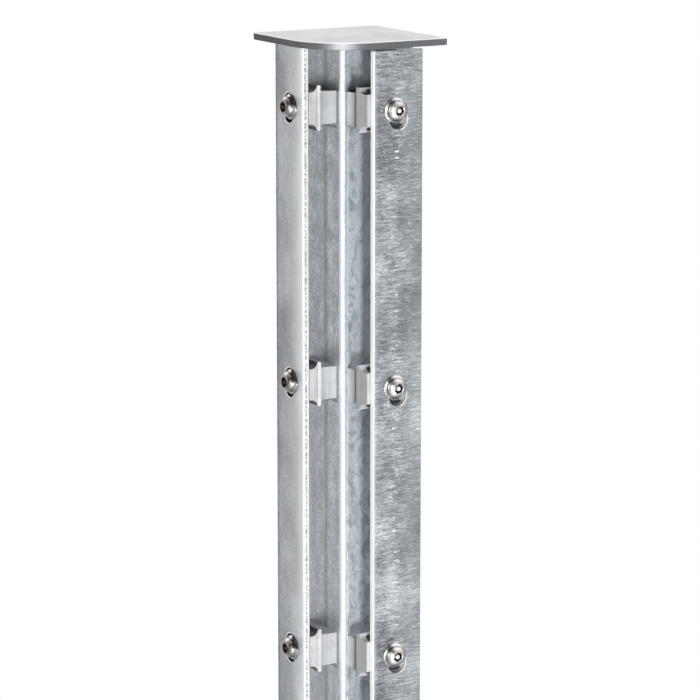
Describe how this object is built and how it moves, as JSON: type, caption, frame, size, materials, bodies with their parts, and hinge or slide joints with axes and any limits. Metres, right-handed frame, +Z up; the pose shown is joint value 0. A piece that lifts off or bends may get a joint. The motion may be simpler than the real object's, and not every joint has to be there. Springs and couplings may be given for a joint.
{
  "type": "corner fence post with clamp bars",
  "caption": "Galvanised square corner post with a rounded cap plate, flat clamp bars on two faces, and plastic clips and button-head screws that hold welded mesh panels.",
  "frame": {"origin": "centre of the square tube at its lower end", "axes": "+Z up along the tube; the near corner between the two clamp bars points to -X and -Y; the right bar is on the -Y face and the left bar is on the -X face"},
  "size_m": [0.1015, 0.1015, 1.305],
  "materials": {
    "galvanised_tube": "hot-dip galvanised, dull zinc with faint streaks",
    "galvanised_cap": "hot-dip galvanised, smooth and light",
    "galvanised_bar": "hot-dip galvanised, mottled zinc with fine marks across the bar",
    "clip_plastic": "moulded light grey plastic, satin",
    "stainless_screw": "polished stainless steel",
    "zinc_plated_nut": "bright zinc plating"
  },
  "bodies": {
    "root": {"post_tube": "galvanised_tube", "cap_plate": "galvanised_cap", "left_clamp_bar": "galvanised_bar", "right_clamp_bar": "galvanised_bar", "left_clip_1": "clip_plastic", "left_screw_1": "stainless_screw", "left_rivet_nut_1": "zinc_plated_nut", "left_clip_2": "clip_plastic", "left_screw_2": "stainless_screw", "left_rivet_nut_2": "zinc_plated_nut", "left_clip_3": "clip_plastic", "left_screw_3": "stainless_screw", "left_rivet_nut_3": "zinc_plated_nut", "left_clip_4": "clip_plastic", "left_screw_4": "stainless_screw", "left_rivet_nut_4": "zinc_plated_nut", "left_clip_5": "clip_plastic", "left_screw_5": "stainless_screw", "left_rivet_nut_5": "zinc_plated_nut", "right_clip_1": "clip_plastic", "right_screw_1": "stainless_screw", "right_rivet_nut_1": "zinc_plated_nut", "right_clip_2": "clip_plastic", "right_screw_2": "stainless_screw", "right_rivet_nut_2": "zinc_plated_nut", "right_clip_3": "clip_plastic", "right_screw_3": "stainless_screw", "right_rivet_nut_3": "zinc_plated_nut", "right_clip_4": "clip_plastic", "right_screw_4": "stainless_screw", "right_rivet_nut_4": "zinc_plated_nut", "right_clip_5": "clip_plastic", "right_screw_5": "stainless_screw", "right_rivet_nut_5": "zinc_plated_nut"}
  },
  "joints": []
}
